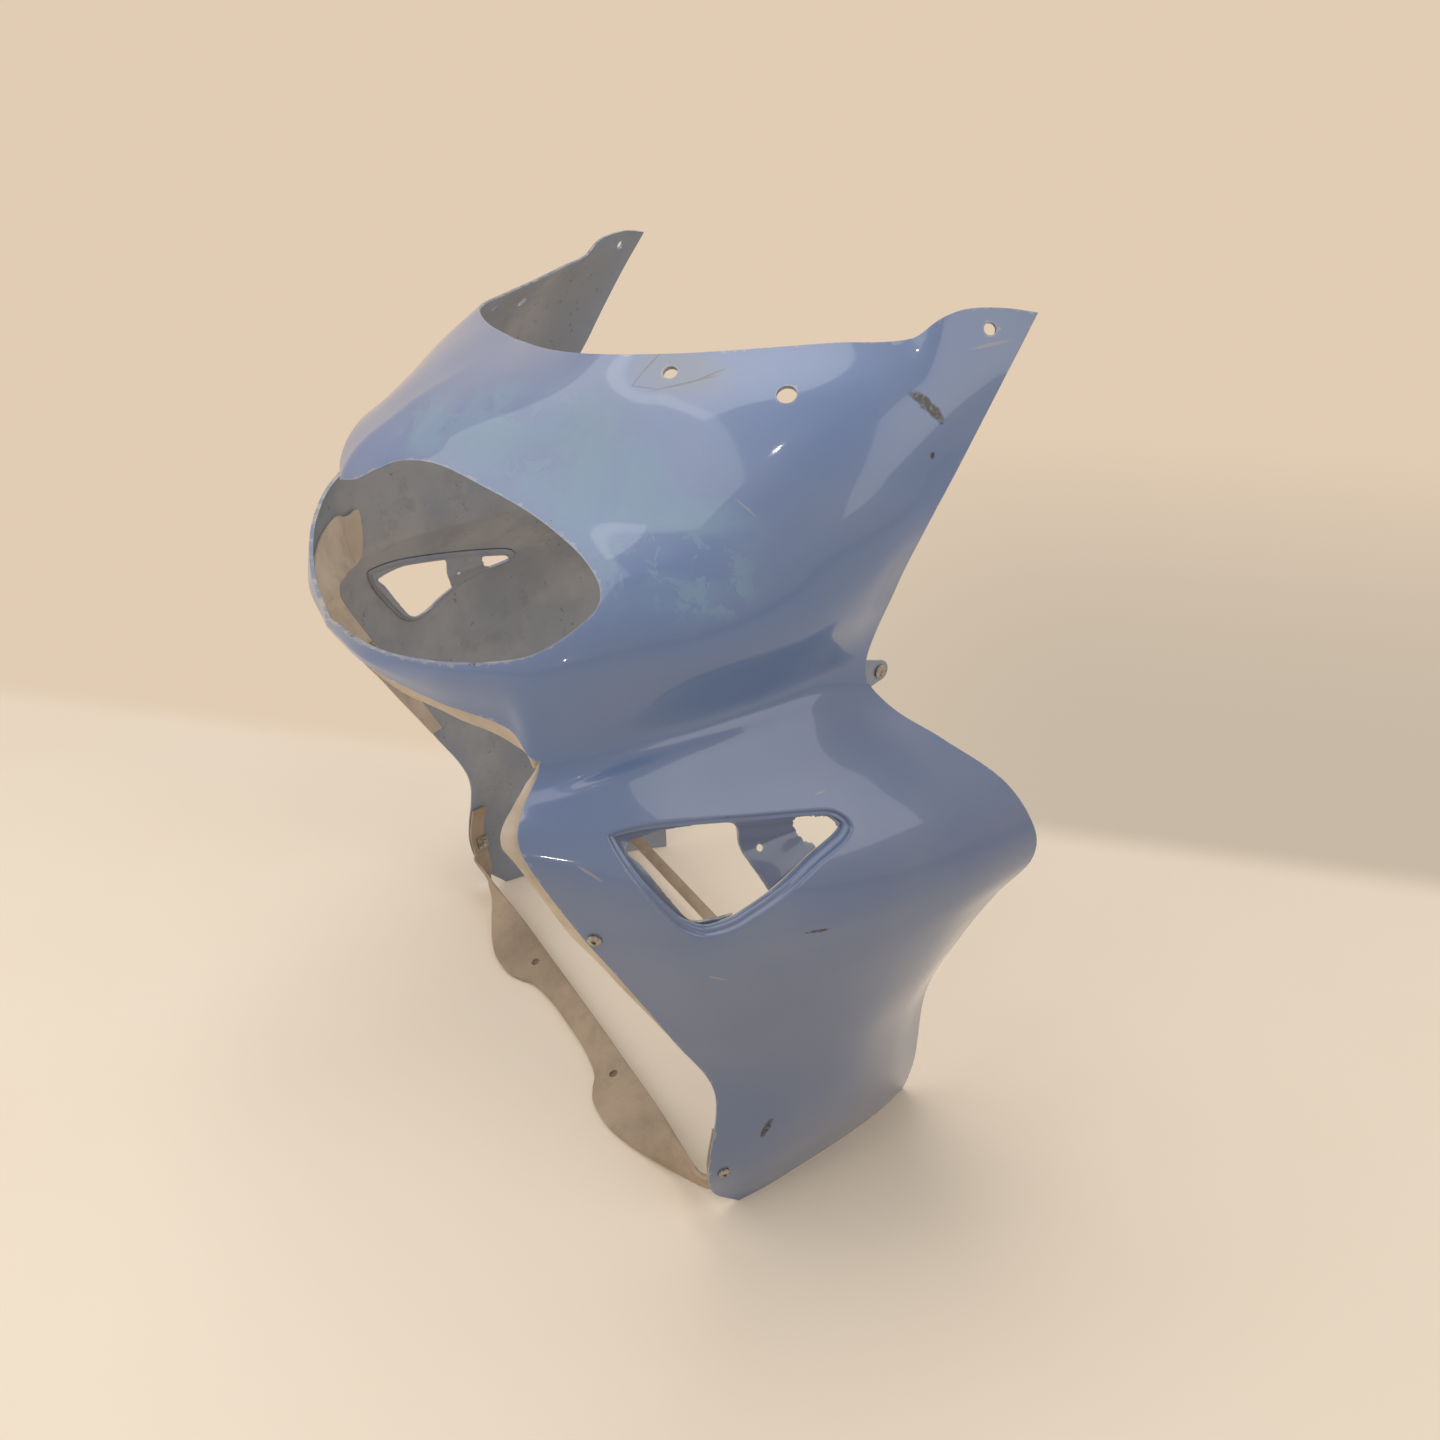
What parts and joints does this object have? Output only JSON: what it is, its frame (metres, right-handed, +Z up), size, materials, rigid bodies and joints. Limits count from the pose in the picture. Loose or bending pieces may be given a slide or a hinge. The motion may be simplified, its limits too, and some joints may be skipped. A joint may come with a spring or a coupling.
{
  "type": "motorcycle fairing",
  "caption": "Motorcycle nose fairing with windscreen arms, one wide headlight opening, side vents, inner liners, chin cross-piece and rear brace.",
  "frame": {"origin": "on the floor plane of the lower edges, below the centre of the overall box", "axes": "-Y to the front of the motorcycle (nose), +X to its left side, +Z up"},
  "size_m": [0.6626, 0.4314, 0.6923],
  "materials": {
    "paint_blue": "gloss",
    "liner_grey": "matte",
    "bare_grey": "matte",
    "zinc_steel": "satin"
  },
  "bodies": {
    "root": {"fairing_shell": "paint_blue", "liner_left": "liner_grey", "liner_right": "liner_grey", "chin_crosspiece": "bare_grey", "rear_brace": "bare_grey", "edge_screws": "zinc_steel", "seam_screws": "zinc_steel", "edge_clip_nuts": "zinc_steel", "seam_clip_nuts": "zinc_steel", "side_studs": "zinc_steel"}
  },
  "joints": []
}
